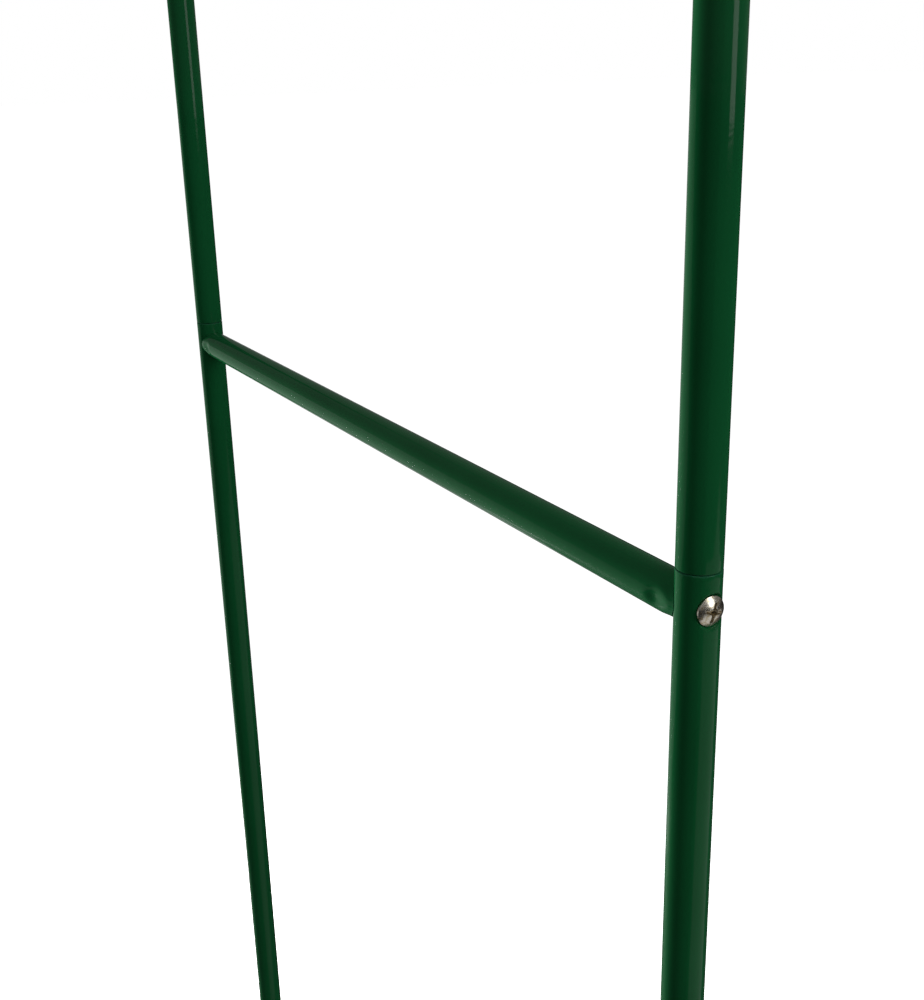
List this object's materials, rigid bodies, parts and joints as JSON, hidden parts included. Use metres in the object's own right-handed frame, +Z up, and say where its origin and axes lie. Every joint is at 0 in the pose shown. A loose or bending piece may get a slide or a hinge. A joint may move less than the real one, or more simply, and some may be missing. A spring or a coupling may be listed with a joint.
{
  "type": "metal trellis arch",
  "caption": "Round-topped garden arch of plug-together steel tubes: two bent rails joined by rungs, locked by a cross-recess screw at every rung end.",
  "frame": {"origin": "on the ground, in the middle of the arch between its four feet", "axes": "+Z up, X across the passage from leg to leg, Y through the passage; the front rail is at -Y and the right legs are at +X"},
  "size_m": [1.4, 0.3854, 2.4],
  "materials": {
    "green_powder_coat": "smooth glossy dark green powder coat over steel tube",
    "plated_steel": "bright, slightly warm zinc or nickel plating",
    "black_plastic": "matt moulded plastic"
  },
  "bodies": {
    "root": {"front_crown_tube": "green_powder_coat", "front_right_foot_plug": "black_plastic", "front_right_lower_leg_tube": "green_powder_coat", "front_right_middle_leg_tube": "green_powder_coat", "front_right_upper_leg_tube": "green_powder_coat", "front_right_haunch_tube": "green_powder_coat", "front_right_shoulder_tube": "green_powder_coat", "front_left_foot_plug": "black_plastic", "front_left_lower_leg_tube": "green_powder_coat", "front_left_middle_leg_tube": "green_powder_coat", "front_left_upper_leg_tube": "green_powder_coat", "front_left_haunch_tube": "green_powder_coat", "front_left_shoulder_tube": "green_powder_coat", "rear_crown_tube": "green_powder_coat", "rear_right_foot_plug": "black_plastic", "rear_right_lower_leg_tube": "green_powder_coat", "rear_right_middle_leg_tube": "green_powder_coat", "rear_right_upper_leg_tube": "green_powder_coat", "rear_right_haunch_tube": "green_powder_coat", "rear_right_shoulder_tube": "green_powder_coat", "rear_left_foot_plug": "black_plastic", "rear_left_lower_leg_tube": "green_powder_coat", "rear_left_middle_leg_tube": "green_powder_coat", "rear_left_upper_leg_tube": "green_powder_coat", "rear_left_haunch_tube": "green_powder_coat", "rear_left_shoulder_tube": "green_powder_coat", "right_lower_rung": "green_powder_coat", "front_right_lower_screw": "plated_steel", "rear_right_lower_screw": "plated_steel", "right_middle_rung": "green_powder_coat", "front_right_middle_screw": "plated_steel", "rear_right_middle_screw": "plated_steel", "right_springing_rung": "green_powder_coat", "front_right_springing_screw": "plated_steel", "rear_right_springing_screw": "plated_steel", "right_haunch_rung": "green_powder_coat", "front_right_haunch_screw": "plated_steel", "rear_right_haunch_screw": "plated_steel", "right_shoulder_rung": "green_powder_coat", "front_right_shoulder_screw": "plated_steel", "rear_right_shoulder_screw": "plated_steel", "left_lower_rung": "green_powder_coat", "front_left_lower_screw": "plated_steel", "rear_left_lower_screw": "plated_steel", "left_middle_rung": "green_powder_coat", "front_left_middle_screw": "plated_steel", "rear_left_middle_screw": "plated_steel", "left_springing_rung": "green_powder_coat", "front_left_springing_screw": "plated_steel", "rear_left_springing_screw": "plated_steel", "left_haunch_rung": "green_powder_coat", "front_left_haunch_screw": "plated_steel", "rear_left_haunch_screw": "plated_steel", "left_shoulder_rung": "green_powder_coat", "front_left_shoulder_screw": "plated_steel", "rear_left_shoulder_screw": "plated_steel"}
  },
  "joints": []
}
